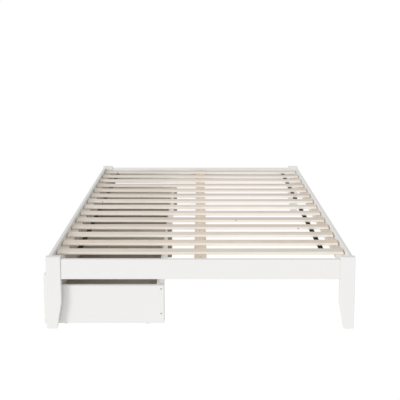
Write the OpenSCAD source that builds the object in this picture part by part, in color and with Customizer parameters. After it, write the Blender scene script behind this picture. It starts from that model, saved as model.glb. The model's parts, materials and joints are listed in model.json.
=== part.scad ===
// Low platform bed with a slatted deck, and two storage drawers on wheels under
// its left side. Sizes are in millimetres. The foot end faces -Y, the drawers
// pull out towards -X, and the origin is on the floor at the centre of the box
// that holds the whole bed with its drawers shut.

/* [Bed frame] */
// Width over the legs
bed_w = 1450; // [1200:10:2000]
// Length over the legs
bed_l = 2010; // [1600:10:2300]
// Height of the four corner legs
leg_h = 351; // [290:1:450]
// Width of a leg board
leg_w = 70; // [62:1:100]
// Width of a leg where it meets the floor
leg_foot_w = 48; // [34:1:60]
// Height at which a leg's taper begins
leg_taper_h = 128; // [60:1:150]
// Thickness of a leg board
leg_t = 28; // [26:1:40]
// Height by which the legs stand above the rails
leg_proud = 12.5; // [0:0.5:25]

/* [Rails] */
// Height of all four rails
rail_h = 95.5; // [80:0.5:110]
// Thickness of the foot and head rails
end_rail_t = 20; // [16:1:22]
// Setback of the foot and head rails from the legs' outer faces
end_rail_recess = 4; // [0:0.5:4]
// Thickness of the side rails
side_rail_t = 17; // [16:1:22]
// Setback of the side rails from the legs' outer sides
side_rail_recess = 1; // [0:0.5:3]
// Width of the ledger strips that carry the slat ends
ledger_w = 44; // [36:1:50]
// Height of the ledger strips
ledger_h = 20; // [16:1:26]

/* [Slats] */
// Number of slats, in two equal rolls
slat_count = 14; // [10:2:16]
// Width of a slat
slat_w = 58; // [45:1:80]
// Thickness of a slat
slat_t = 14; // [11:0.5:20]
// Rounding of a slat's long edges
slat_round = 4; // [1:0.5:5]
// Depth of the slats' top faces below the rails' top edges
slat_drop = 15.5; // [8:0.5:20]
// Gap between the foot rail and the first slat
first_gap = 131; // [20:1:160]
// Gap between the last slat and the head rail
last_gap = 9; // [5:1:60]
// Gap between a slat's end and the side rail
slat_end_gap = 5; // [2:0.5:10]
// Width of the webbing straps under the slats
strap_w = 26; // [16:1:40]
// Thickness of the webbing
strap_t = 1.2; // [0.8:0.1:2]
// Distance from a slat's end to the middle of its strap
strap_inset = 96; // [75:1:160]

/* [Centre support] */
// Width of the centre beam
beam_w = 60; // [40:1:90]
// Height of the centre beam
beam_h = 35; // [30:1:44]
// Side of a square centre leg
centre_leg_w = 45; // [30:1:50]
// Distance between the two centre legs
centre_leg_spacing = 580; // [300:10:900]

/* [Drawers] */
// Thickness of a drawer front
front_t = 18; // [14:1:24]
// Height by which a drawer front laps over the side rail
front_lap = 11; // [4:1:30]
// Gap between a shut drawer front and the side rail
front_clear = 1; // [0.5:0.5:4]
// Gap at each end of the row of fronts, and between the two
front_gap = 3; // [2:0.5:8]
// Open space left between the drawers and the head leg, besides the gap
head_space = 0; // [0:1:250]
// Thickness of a drawer's side panels
side_t = 18.5; // [14:0.5:22]
// Thickness of a drawer's back panel
back_t = 12.5; // [10:0.5:16]
// Distance from the back ends of a drawer's sides to its back panel
back_setback = 23.5; // [20:0.5:30]
// Distance by which a front runs past the drawer's sides
side_inset = 6; // [2:1:20]
// Gap between a drawer's sides and the rail above
drawer_top_gap = 43; // [15:1:80]
// Gap between the drawer's panels and the floor
floor_gap = 12.5; // [8:0.5:16]
// Distance from the bed's middle line to the back ends of a drawer's sides
back_clear = 173; // [60:1:220]
// Thickness of the drawer bottom
bottom_t = 5; // [3:0.5:8]
// Height of the battens under the drawer bottom
batten_h = 15; // [14:1:22]
// Width of the battens along a drawer's sides
runner_w = 36; // [28:1:50]
// Thickness of the strip along the front, inside the drawer
front_strip_t = 9; // [6:1:15]
// Height by which that strip stands above the drawer bottom
front_strip_rise = 10; // [4:1:20]
// Distance from the drawer front to the middle batten
middle_setback = 223; // [120:1:240]
// Width of the middle batten's top, between the two bottom panels
middle_w = 69; // [40:1:90]

/* [Wheels] */
// Radius of a drawer wheel
wheel_r = 16; // [14:0.5:22]
// Width of a drawer wheel
wheel_w = 13; // [10:0.5:18]
// Radius of a wheel's axle
axle_r = 3; // [2:0.25:4]
// Clearance between an axle and its wheel's bore
axle_clear = 0.05; // [0.02:0.01:0.1]
// Distance from a drawer's front and from its sides' back ends to its wheels
wheel_inset = 80; // [76:1:110]

/* [Hidden] */
$fn = 48;

// clearances and hardware sizes
hole_clear = 0.1;
panel_clear = 0.5;
bracket_t = 2.5;
bracket_leg_flange = 40;
bracket_rail_flange = 60;
bracket_edge = 4;
bolt_r = 3;
bolt_head_r = 5;
bolt_head_t = 3;
bolt_grip = 12;
bolt_pitch = 20;
screw_r = 2;
screw_head_r = 4;
screw_head_t = 2.5;
screw_bite = 12;
dowel_r = 5;
dowel_in_leg = 24;
dowel_in_rail = 34;
dowel_edge = 24;
glide_r = 10;
glide_t = 2;
glide_nail_r = 1.5;
glide_nail_h = 12;
hanger_depth = 40;
hanger_flange = 22;
hanger_drop = 5;
ledger_bore = 20;
ledger_screw_count = 6;
ledger_screw_end = 70;
ledger_hidden = 2;
staple_crown = 12;
staple_wire = 1;
staple_leg_h = 8;
strap_end = 10;
ledge_w = 20;
block_w = 18;
block_h = 100;
block_pitch = 50;
plate_t = 2;
plate_l = 56;
plate_hole_pitch = 44;
ear_t = 2;
ear_r = 7;
ear_w = 30;
wheel_wall = 3.5;
wheel_edge = 1;
wheel_web_share = 0.5;
wheel_side_clear = 0.5;
wheel_top_clear = 1;
rivet_r = 4.5;
rivet_t = 1;
rivet_clear = 0.5;
cleat_w = 22;
cleat_pitch = 50;
back_screw_edge = 13.5;
back_screw_drop = 17;
back_screw_rise = 48.5;
strip_screw_count = 4;
strip_screw_end = 110;

// the frame, from the middle of the bed
half_w = bed_w / 2;
half_l = bed_l / 2;
rail_z = leg_h - leg_proud - rail_h;
rail_top = rail_z + rail_h;
leg_in = half_l - leg_t;
end_rail_out = half_l - end_rail_recess;
end_rail_in = end_rail_out - end_rail_t;
side_rail_out = half_w - side_rail_recess;
side_rail_in = side_rail_out - side_rail_t;

// the slatted deck
slat_half = side_rail_in - slat_end_gap;
slat_z = rail_top - slat_drop - slat_t;
slat_pitch = (2 * end_rail_in - first_gap - last_gap - slat_w) / (slat_count - 1);
ledger_z = slat_z - ledger_h;
ledger_in = side_rail_in - ledger_w;
roll_count = slat_count / 2;
strap_x = slat_half - strap_inset;
ledger_screw_l = ledger_w - ledger_bore + screw_bite;
ledger_foot = slat_y(1) + ledger_hidden;
ledger_head = slat_y(slat_count) + slat_w - ledger_hidden;
beam_z = slat_z - beam_h;
beam_end = end_rail_in - bracket_t - panel_clear;
bracket_z = rail_z + bracket_edge;
bracket_h = ledger_z - rail_z - 2 * bracket_edge;
hanger_in = beam_w / 2 + panel_clear;
hanger_out = hanger_in + bracket_t;

// the drawers, with x measured from the middle of the bed
front_x = -side_rail_out - front_clear;
front_l = (2 * leg_in - 3 * front_gap - head_space) / 2;
front_top = rail_z + front_lap;
box_top = rail_z - drawer_top_gap;
back_out = -back_clear - back_setback;
back_in = back_out - back_t;
plate_z = 2 * wheel_r + wheel_top_clear;
batten_z = plate_z + plate_t;
bottom_z = batten_z + batten_h;
bottom_top = bottom_z + bottom_t;
strip_in = front_x + front_strip_t;
strip_top = bottom_top + front_strip_rise;
middle_x = front_x + middle_setback;
wheel_gap = wheel_w / 2 + wheel_side_clear;
wheel_y = rivet_clear + rivet_t + ear_t + wheel_gap;
wheel_x = [front_x + wheel_inset, -back_clear - wheel_inset];

// the middle of the whole box lies this far from the middle of the bed
centre_x = (-half_w - (front_x - front_t)) / 2;

DRAWERS = ["foot_drawer", "head_drawer"];
DRAWER_PARTS = ["front", "foot_side", "head_side", "back", "bottom", "battens", "casters", "screws"];
WHEELS = ["front_foot", "front_head", "back_foot", "back_head"];

function slat_name(i) = str("slat_", i < 10 ? "0" : "", i);
function wheel_name(drawer, wheel) = str(drawer, "_wheel_", wheel);
function slat_y(i) = -end_rail_in + first_gap + (i - 1) * slat_pitch;
function spread(first, last, count) = [for (i = [0:count - 1]) first + i * (last - first) / (count - 1)];
function drawer_y(d) = -leg_in + front_gap + d * (front_l + front_gap);
function side_out(d) = drawer_y(d) + side_inset;
function side_end(d) = drawer_y(d) + front_l - side_inset;

// ---------- shared shapes ----------

module block(low, high) {
    translate(low) cube(high - low);
}

// moves the bed so that the middle of its box is at x = 0
module centred() {
    translate([centre_x, 0, 0]) children();
}

// turns a shape drawn at the right head corner to any corner
module corner(side, end) {
    mirror([side < 0 ? 1 : 0, 0, 0]) mirror([0, end < 0 ? 1 : 0, 0]) children();
}

// a headed fastener along +Z, its head's outer face at z = 0
module fastener(r, head_r, head_t, length) {
    cylinder(r = head_r, h = head_t);
    cylinder(r = r, h = length);
}

// the hole for a fastener, with its head's recess open for `back` above it
module fastener_hole(r, head_r, head_t, length, back = 1) {
    translate([0, 0, -back]) cylinder(r = head_r + hole_clear, h = back + head_t);
    cylinder(r = r + hole_clear, h = length + hole_clear);
}

// ---------- frame hardware, drawn at the right head corner ----------

module corner_bolt_places() {
    z = bracket_z + bracket_h / 2;
    head = bracket_t + bolt_head_t;
    for (dz = [-bolt_pitch / 2, bolt_pitch / 2])
        translate([side_rail_in - bracket_leg_flange / 2, leg_in - head, z + dz])
            rotate([-90, 0, 0]) children();
    for (dy = [-bolt_pitch / 2, bolt_pitch / 2])
        translate([side_rail_in - head, leg_in - bracket_rail_flange / 2 - bolt_head_r + dy, z])
            rotate([0, 90, 0]) children();
}

module hanger_bolt_places() {
    x = hanger_out + hanger_flange / 2;
    z = beam_z + (beam_h - hanger_drop) / 2;
    for (side = [-1, 1])
        translate([side * x, end_rail_in - bracket_t - bolt_head_t, z]) rotate([-90, 0, 0]) children();
}

module bolt() {
    fastener(bolt_r, bolt_head_r, bolt_head_t, bolt_head_t + bracket_t + bolt_grip);
}

module bolt_hole() {
    fastener_hole(bolt_r, bolt_head_r, bolt_head_t, bolt_head_t + bracket_t + bolt_grip, 0);
}

module rail_dowels(clear = 0) {
    y = end_rail_out - end_rail_t / 2;
    for (z = [rail_z + dowel_edge, rail_top - dowel_edge])
        translate([half_w - leg_w - dowel_in_rail - clear, y, z])
            rotate([0, 90, 0]) cylinder(r = dowel_r + clear, h = dowel_in_rail + dowel_in_leg + 2 * clear);
}

module centre_dowel(clear = 0) {
    translate([0, centre_leg_spacing / 2, beam_z - dowel_in_rail - clear])
        cylinder(r = dowel_r + clear, h = dowel_in_rail + dowel_in_leg + 2 * clear);
}

module glide(clear = 0) {
    cylinder(r = glide_r, h = glide_t);
    cylinder(r = glide_nail_r + clear, h = glide_t + glide_nail_h + clear);
}

module corner_glide(clear = 0) {
    translate([half_w - leg_foot_w / 2, half_l - leg_t / 2, 0]) glide(clear);
}

module centre_glide(clear = 0) {
    translate([0, centre_leg_spacing / 2, 0]) glide(clear);
}

module ledger_screw_places() {
    for (y = spread(ledger_foot + ledger_screw_end, ledger_head - ledger_screw_end, ledger_screw_count))
        translate([ledger_in + ledger_bore, y, ledger_z + ledger_h / 2]) rotate([0, 90, 0]) children();
}

module ledger_screw_holes() {
    ledger_screw_places()
        fastener_hole(screw_r, screw_head_r, screw_head_t, ledger_screw_l, ledger_bore + 1);
}

// ---------- frame ----------

module leg(side, end) {
    outline = [
        [half_w - leg_foot_w, glide_t],
        [half_w, glide_t],
        [half_w, leg_h],
        [half_w - leg_w, leg_h],
        [half_w - leg_w, leg_taper_h]
    ];
    color("white") centred() corner(side, end) difference() {
        translate([0, half_l, 0]) rotate([90, 0, 0]) linear_extrude(leg_t) polygon(outline);
        rail_dowels(hole_clear);
        corner_bolt_places() bolt_hole();
        corner_glide(hole_clear);
    }
}

module end_rail(end) {
    x = half_w - leg_w;
    color("white") centred() corner(1, end) difference() {
        block([-x, end_rail_in, rail_z], [x, end_rail_out, rail_top]);
        for (side = [-1, 1]) corner(side, 1) rail_dowels(hole_clear);
        hanger_bolt_places() bolt_hole();
    }
}

module side_rail(side) {
    color("white") centred() corner(side, 1) difference() {
        block([side_rail_in, -leg_in, rail_z], [side_rail_out, leg_in, rail_top]);
        for (end = [-1, 1]) corner(1, end) corner_bolt_places() bolt_hole();
        ledger_screw_holes();
    }
}

module slat_ledger(side) {
    color("wheat") centred() corner(side, 1) difference() {
        block([ledger_in, ledger_foot, ledger_z], [side_rail_in, ledger_head, slat_z]);
        ledger_screw_holes();
    }
}

module centre_beam() {
    color("burlywood") centred() difference() {
        block([-beam_w / 2, -beam_end, beam_z], [beam_w / 2, beam_end, slat_z]);
        for (end = [-1, 1]) corner(1, end) centre_dowel(hole_clear);
    }
}

module centre_leg(end) {
    w = centre_leg_w / 2;
    y = centre_leg_spacing / 2;
    color("wheat") centred() corner(1, end) difference() {
        block([-w, y - w, glide_t], [w, y + w, beam_z]);
        centre_dowel(hole_clear);
        centre_glide(hole_clear);
    }
}

// ---------- slats and webbing ----------

module staple(clear = 0) {
    leg = staple_wire + 2 * clear;
    h = staple_leg_h + strap_t + staple_wire + clear;
    x = (staple_crown - staple_wire) / 2;
    z = slat_z - strap_t - staple_wire;
    translate([-staple_crown / 2, -staple_wire / 2, z]) cube([staple_crown, staple_wire, staple_wire]);
    for (side = [-1, 1]) translate([side * x - leg / 2, -leg / 2, z]) cube([leg, leg, h]);
}

module slat_staples(i, clear = 0) {
    for (side = [-1, 1]) translate([side * strap_x, slat_y(i) + slat_w / 2, 0]) staple(clear);
}

module slat_section() {
    translate([slat_round, 0]) square([slat_w - 2 * slat_round, slat_t]);
    translate([0, slat_round]) square([slat_w, slat_t - 2 * slat_round]);
    for (y = [slat_round, slat_w - slat_round], z = [slat_round, slat_t - slat_round])
        translate([y, z]) circle(r = slat_round);
}

module slat(i) {
    color("wheat") centred() difference() {
        translate([-slat_half, slat_y(i), slat_z])
            rotate([90, 0, 90]) linear_extrude(2 * slat_half) slat_section();
        slat_staples(i, hole_clear);
    }
}

module slat_straps(side) {
    color([0.1, 0.1, 0.1]) centred() difference() {
        for (roll = [0, 1]) {
            first = slat_y(roll * roll_count + 1) + strap_end;
            last = slat_y((roll + 1) * roll_count) + slat_w - strap_end;
            x = side * strap_x;
            block([x - strap_w / 2, first, slat_z - strap_t], [x + strap_w / 2, last, slat_z]);
        }
        for (i = [1:slat_count]) slat_staples(i, hole_clear);
    }
}

module strap_staples() {
    color("silver") centred() for (i = [1:slat_count]) slat_staples(i);
}

// ---------- frame hardware nodes ----------

module corner_bracket() {
    inner = side_rail_in - bracket_leg_flange;
    top = bracket_z + bracket_h;
    difference() {
        union() {
            block([inner, leg_in - bracket_t, bracket_z], [side_rail_in, leg_in, top]);
            block(
                [side_rail_in - bracket_t, leg_in - bracket_rail_flange, bracket_z],
                [side_rail_in, leg_in, top]
            );
        }
        corner_bolt_places() bolt_hole();
    }
}

module corner_brackets() {
    color("silver") centred() for (side = [-1, 1], end = [-1, 1]) corner(side, end) corner_bracket();
}

module beam_hanger() {
    top = slat_z - hanger_drop;
    flange = hanger_out + hanger_flange;
    face = end_rail_in - bracket_t;
    difference() {
        union() {
            block([-flange, face, beam_z - bracket_t], [flange, end_rail_in, top]);
            block([-hanger_out, face - hanger_depth, beam_z - bracket_t], [hanger_out, face, top]);
        }
        block([-hanger_in, face - hanger_depth - 1, beam_z], [hanger_in, face, slat_z]);
        hanger_bolt_places() bolt_hole();
    }
}

module beam_hangers() {
    color("silver") centred() for (end = [-1, 1]) corner(1, end) beam_hanger();
}

module frame_bolts() {
    color("silver") centred() {
        for (side = [-1, 1], end = [-1, 1]) corner(side, end) corner_bolt_places() bolt();
        for (end = [-1, 1]) corner(1, end) hanger_bolt_places() bolt();
    }
}

module ledger_screws() {
    color("silver") centred() for (side = [-1, 1]) corner(side, 1)
        ledger_screw_places() fastener(screw_r, screw_head_r, screw_head_t, ledger_screw_l);
}

module leg_glides() {
    color("whitesmoke") centred() {
        for (side = [-1, 1], end = [-1, 1]) corner(side, end) corner_glide();
        for (end = [-1, 1]) corner(1, end) centre_glide();
    }
}

module frame_dowels() {
    color("tan") centred() {
        for (side = [-1, 1], end = [-1, 1]) corner(side, end) rail_dowels();
        for (end = [-1, 1]) corner(1, end) centre_dowel();
    }
}

// ---------- drawers ----------

// draws a shape meant for the foot side of drawer d at both of its sides
module both_sides(d) {
    middle = (side_out(d) + side_end(d)) / 2;
    for (turn = [0, 1]) translate([0, middle, 0]) mirror([0, turn, 0]) translate([0, -middle, 0]) children();
}

module back_screw_places(d) {
    for (z = [floor_gap + back_screw_rise, box_top - back_screw_drop])
        translate([-back_clear - back_screw_edge, side_out(d), z]) rotate([-90, 0, 0]) children();
}

// through the back panel into the cleats that stand behind it
module cleat_screw_places(d) {
    z = (floor_gap + box_top) / 2;
    for (dz = [-cleat_pitch / 2, cleat_pitch / 2])
        translate([back_in, side_out(d) + side_t + cleat_w / 2, z + dz]) rotate([0, 90, 0]) children();
}

module strip_screw_places(d) {
    for (y = spread(side_out(d) + strip_screw_end, side_end(d) - strip_screw_end, strip_screw_count))
        translate([strip_in, y, batten_z + batten_h / 2]) rotate([0, -90, 0]) children();
}

module block_screw_places(d) {
    y = side_out(d) + side_t;
    z = strip_top + block_h / 2;
    for (dz = [-block_pitch / 2, block_pitch / 2]) {
        translate([front_x + block_w / 2, y + block_w, z + dz]) rotate([90, 0, 0]) children();
        translate([front_x + block_w, y + block_w / 2, z + dz / 2]) rotate([0, -90, 0]) children();
    }
}

module caster_screw_places(d) {
    y = side_out(d) + side_t + wheel_y;
    for (x = wheel_x, dx = [-plate_hole_pitch / 2, plate_hole_pitch / 2])
        translate([x + dx, y, plate_z - screw_head_t]) children();
}

// a wood screw, or the hole for it
module screw(length, hole) {
    if (hole) fastener_hole(screw_r, screw_head_r, screw_head_t, length);
    else fastener(screw_r, screw_head_r, screw_head_t, length);
}

// all screws of drawer d, or all the holes for them
module drawer_fasteners(d, holes = false) {
    both_sides(d) {
        back_screw_places(d) screw(side_t + screw_bite, holes);
        cleat_screw_places(d) screw(back_t + screw_bite, holes);
        block_screw_places(d) screw(block_w + screw_bite, holes);
        caster_screw_places(d) screw(screw_head_t + plate_t + screw_bite, holes);
    }
    strip_screw_places(d) screw(front_strip_t + screw_bite, holes);
}

module drawer_front(d) {
    y = drawer_y(d);
    color("white") centred() difference() {
        block([front_x - front_t, y, floor_gap], [front_x, y + front_l, front_top]);
        drawer_fasteners(d, true);
    }
}

module drawer_side(d, end) {
    y = end < 0 ? side_out(d) : side_end(d) - side_t;
    color("white") centred() difference() {
        block([front_x, y, floor_gap], [-back_clear, y + side_t, box_top]);
        drawer_fasteners(d, true);
    }
}

module drawer_back(d) {
    color("white") centred() difference() {
        block([back_in, side_out(d) + side_t, floor_gap], [back_out, side_end(d) - side_t, box_top]);
        drawer_fasteners(d, true);
    }
}

module drawer_bottom(d) {
    y = side_out(d) + side_t + panel_clear;
    end = side_end(d) - side_t - panel_clear;
    color("tan") centred() {
        block([strip_in + panel_clear, y, bottom_z], [middle_x, end, bottom_top]);
        block([middle_x + middle_w, y, bottom_z], [back_in - panel_clear, end, bottom_top]);
    }
}

// two runners over the wheels, a back batten, the middle batten with a ledge on
// each side, the strip along the front with a block at each end, and two cleats
// between the back panel and the ends of the drawer's sides
module drawer_battens(d) {
    y = side_out(d) + side_t;
    end = side_end(d) - side_t;
    inner = y + runner_w + panel_clear;
    inner_end = end - runner_w - panel_clear;
    block_z = strip_top + panel_clear;
    color("wheat") centred() difference() {
        union() {
            both_sides(d) {
                block([strip_in + panel_clear, y, batten_z], [back_in, y + runner_w, bottom_z]);
                block([front_x, y, block_z], [front_x + block_w, y + block_w, block_z + block_h]);
                block([back_out, y, floor_gap], [-back_clear, y + cleat_w, box_top]);
            }
            block([front_x, y, batten_z], [strip_in, end, strip_top]);
            block([back_in - batten_h, inner, batten_z], [back_in, inner_end, bottom_z]);
            middle_batten(y, inner, inner_end, end);
        }
        drawer_fasteners(d, true);
    }
}

// stands between the runners, and its top reaches over them to the sides
module middle_batten(y, inner, inner_end, end) {
    high = middle_x + middle_w;
    block([middle_x - ledge_w, inner, batten_z], [high + ledge_w, inner_end, bottom_z]);
    block([middle_x, inner, bottom_z], [high, inner_end, bottom_top]);
    block([middle_x, y, bottom_z + panel_clear], [high, end, bottom_top]);
}

// a pressed plate with two ears and the axle riveted through them, its axle at
// the origin and the drawer's side towards -Y
module caster() {
    top = plate_z - wheel_r;
    ear_out = wheel_gap + ear_t;
    ear_top = [[-ear_w / 2, top], [ear_w / 2, top], [ear_r, 0], [-ear_r, 0]];
    difference() {
        translate([-plate_l / 2, -ear_out, top]) cube([plate_l, 2 * ear_out, plate_t]);
        for (x = [-plate_hole_pitch / 2, plate_hole_pitch / 2])
            translate([x, 0, top - 1]) cylinder(r = screw_r + hole_clear, h = plate_t + 2);
    }
    for (y = [-wheel_gap, ear_out]) translate([0, y, 0]) rotate([90, 0, 0]) linear_extrude(ear_t) {
        circle(r = ear_r);
        polygon(ear_top);
    }
    rotate([90, 0, 0]) {
        translate([0, 0, -ear_out]) cylinder(r = axle_r, h = 2 * ear_out);
        for (z = [-ear_out - rivet_t, ear_out]) translate([0, 0, z]) cylinder(r = rivet_r, h = rivet_t);
    }
}

module drawer_casters(d) {
    y = side_out(d) + side_t + wheel_y;
    color("silver") centred() both_sides(d) for (x = wheel_x) translate([x, y, wheel_r]) caster();
}

module drawer_screws(d) {
    color("silver") centred() drawer_fasteners(d);
}

// a moulded wheel with a hub, a thin web and a rim, turned about its own axis
module wheel_body() {
    bore_r = axle_r + axle_clear;
    hub_r = axle_r + wheel_wall;
    rim_r = wheel_r - wheel_wall;
    edge = wheel_edge;
    web = wheel_w * wheel_web_share / 2;
    w = wheel_w / 2;
    rotate([90, 0, 0]) rotate_extrude() polygon([
        [bore_r, -w], [hub_r, -w], [hub_r, -web], [rim_r, -web], [rim_r, -w], [wheel_r - edge, -w],
        [wheel_r, -w + edge], [wheel_r, w - edge], [wheel_r - edge, w], [rim_r, w], [rim_r, web],
        [hub_r, web], [hub_r, w], [bore_r, w]
    ]);
}

// wheel number k of drawer d, in the order of WHEELS
module drawer_wheel(d, k) {
    x = wheel_x[floor(k / 2)];
    near = side_out(d) + side_t + wheel_y;
    far = side_end(d) - side_t - wheel_y;
    color("gainsboro") centred() translate([x, k % 2 == 0 ? near : far, wheel_r]) wheel_body();
}

leg(-1, -1);  // foot_leg_left
leg(1, -1);  // foot_leg_right
leg(-1, 1);  // head_leg_left
leg(1, 1);  // head_leg_right
end_rail(-1);  // foot_rail
end_rail(1);  // head_rail
side_rail(-1);  // side_rail_left
side_rail(1);  // side_rail_right
slat_ledger(-1);  // slat_ledger_left
slat_ledger(1);  // slat_ledger_right
centre_beam();
centre_leg(-1);  // centre_leg_foot
centre_leg(1);  // centre_leg_head
for (i = [1:slat_count]) slat(i);
slat_straps(-1);  // slat_straps_left
slat_straps(1);  // slat_straps_right
strap_staples();
corner_brackets();
frame_bolts();
ledger_screws();
beam_hangers();
leg_glides();
frame_dowels();
for (d = [0, 1]) {
    drawer_front(d);
    drawer_side(d, -1);
    drawer_side(d, 1);
    drawer_back(d);
    drawer_bottom(d);
    drawer_battens(d);
    drawer_casters(d);
    drawer_screws(d);
    for (k = [0:3]) drawer_wheel(d, k);
}
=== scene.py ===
import json
import math
import random
import bmesh
import bpy
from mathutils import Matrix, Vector

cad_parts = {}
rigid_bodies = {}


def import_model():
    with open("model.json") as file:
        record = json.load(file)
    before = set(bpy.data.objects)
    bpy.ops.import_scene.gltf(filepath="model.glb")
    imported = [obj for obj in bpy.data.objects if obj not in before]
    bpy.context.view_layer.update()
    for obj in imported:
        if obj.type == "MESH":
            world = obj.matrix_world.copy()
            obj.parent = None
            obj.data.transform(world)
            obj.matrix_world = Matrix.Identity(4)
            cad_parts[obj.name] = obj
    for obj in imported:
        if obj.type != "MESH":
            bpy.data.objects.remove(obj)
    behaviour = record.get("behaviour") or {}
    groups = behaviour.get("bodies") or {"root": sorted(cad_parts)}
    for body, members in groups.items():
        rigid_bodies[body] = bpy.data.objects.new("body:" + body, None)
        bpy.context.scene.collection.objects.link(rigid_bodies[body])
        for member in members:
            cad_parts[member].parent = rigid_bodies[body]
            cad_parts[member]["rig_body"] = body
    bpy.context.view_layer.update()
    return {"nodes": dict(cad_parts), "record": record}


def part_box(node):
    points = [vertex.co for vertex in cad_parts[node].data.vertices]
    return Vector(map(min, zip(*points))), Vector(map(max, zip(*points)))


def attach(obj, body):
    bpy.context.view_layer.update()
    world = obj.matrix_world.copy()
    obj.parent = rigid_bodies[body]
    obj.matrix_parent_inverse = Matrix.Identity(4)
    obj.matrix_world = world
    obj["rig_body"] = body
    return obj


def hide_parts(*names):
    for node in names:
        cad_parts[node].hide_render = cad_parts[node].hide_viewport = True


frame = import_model()
mm = 0.001
slotOf = {part["node"]: part["material_slot"] for part in frame["record"]["subparts"]}
print("frame loaded:", len(frame["nodes"]), "nodes")


def srgb(text):
    # "#rrggbb" as linear red, green, blue and alpha
    values = [int(text[i:i + 2], 16) / 255 for i in (1, 3, 5)]
    return [v / 12.92 if v <= 0.04045 else ((v + 0.055) / 1.055) ** 2.4 for v in values] + [1.0]


def addNode(tree, kind, inputs=None, **settings):
    # a node with its settings; each input takes a value, or the output that feeds it
    node = tree.nodes.new(kind)
    for name, value in settings.items():
        setattr(node, name, value)
    for key, value in (inputs or {}).items():
        if isinstance(value, bpy.types.NodeSocket):
            tree.links.new(value, node.inputs[key])
        else:
            node.inputs[key].default_value = value
    return node


def startMaterial(name, **fixed):
    # a Principled material whose constants sit on the shader's own sockets
    material = bpy.data.materials.new(name)
    material.use_nodes = True
    shader = material.node_tree.nodes["Principled BSDF"]
    for key, value in fixed.items():
        shader.inputs[key.replace("_", " ")].default_value = value
    return material, material.node_tree


def endMaterial(material, colour, roughness, normal):
    # the three outputs that drive every surface here
    shader = material.node_tree.nodes["Principled BSDF"]
    for name, output in (("Base Color", colour), ("Roughness", roughness), ("Normal", normal)):
        material.node_tree.links.new(output, shader.inputs[name])
    return material


def fillRamp(node, stops):
    # stops are (place, grey or colour), from left to right
    points = node.color_ramp.elements
    while len(points) < len(stops):
        points.new(0.5)
    for point, (place, value) in zip(points, stops):
        point.position = place
        point.color = value if isinstance(value, list) else [value, value, value, 1.0]


# camera: level with the eye of someone standing at the foot end
cameraView = {"place": (0.009, -4.200, 1.477), "pitch": 6.9, "lens": 63.79, "shift": (-0.001, -0.25)}
camera = bpy.data.objects.new("camera", bpy.data.cameras.new("camera"))
bpy.context.collection.objects.link(camera)
camera.location = cameraView["place"]
camera.rotation_euler = (math.radians(90 - cameraView["pitch"]), 0, 0)
camera.data.lens = cameraView["lens"]
camera.data.shift_x, camera.data.shift_y = cameraView["shift"]
camera.data.clip_end = 100
bpy.context.scene.camera = camera

# lights: a soft key from the left in front, an even white room all round, and a floor that
# throws light back up; the camera itself sees room and floor as white, at the strength "seen"
lighting = {"key": 1.25, "keyFrom": (-0.68, -0.68, 0.27), "keySoft": 22, "room": 0.7, "floor": 0.84,
            "seen": 1.02}
key = bpy.data.objects.new("key", bpy.data.lights.new("key", "SUN"))
bpy.context.collection.objects.link(key)
key.data.energy = lighting["key"]
key.data.angle = math.radians(lighting["keySoft"])
key.rotation_euler = Vector(lighting["keyFrom"]).to_track_quat("Z", "Y").to_euler()
world = bpy.data.worlds.new("room")
bpy.context.scene.world = world
world.use_nodes = True
backdrop = world.node_tree.nodes["Background"]
seen = addNode(world.node_tree, "ShaderNodeLightPath")
white = addNode(world.node_tree, "ShaderNodeMapRange",
                {"Value": seen.outputs["Is Camera Ray"], "To Min": lighting["room"],
                 "To Max": lighting["seen"]})
world.node_tree.links.new(white.outputs["Result"], backdrop.inputs["Strength"])
backdrop.inputs["Color"].default_value = (1, 1, 1, 1)
bpy.context.scene.view_settings.view_transform = "Standard"

# floor: plain, pale, and seen as white however the bed shades it
floorSize = 30
floorMesh = bpy.data.meshes.new("floor")
floorMesh.from_pydata([(x * floorSize, y * floorSize, 0) for x, y in ((-1, -1), (1, -1), (1, 1), (-1, 1))],
                      [], [(0, 1, 2, 3)])
floor = bpy.data.objects.new("floor", floorMesh)
bpy.context.collection.objects.link(floor)
floorPaint, tree = startMaterial("lit_white_floor")
seen = addNode(tree, "ShaderNodeLightPath")
white = addNode(tree, "ShaderNodeMapRange",
                {"Value": seen.outputs["Is Camera Ray"], "To Min": lighting["floor"],
                 "To Max": lighting["seen"]})
glow = addNode(tree, "ShaderNodeEmission", {"Strength": white.outputs["Result"]})
tree.links.new(glow.outputs[0], tree.nodes["Material Output"].inputs["Surface"])
tree.nodes.remove(tree.nodes["Principled BSDF"])
floorMesh.materials.append(floorPaint)
print("stage, lights and camera ready")


# materials; a colour Mix node has its factor at input 0, its colours at 6 and 7, and its result at
# output 2, and Wave's bands and rings come round every wavePeriod metres at scale 1
wavePeriod = 0.314

lacquerLook = {"colour": "#EFEEEC", "worn": "#E6E3DD", "peel": 1.4 * mm, "grainPitch": 3.5 * mm}


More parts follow.
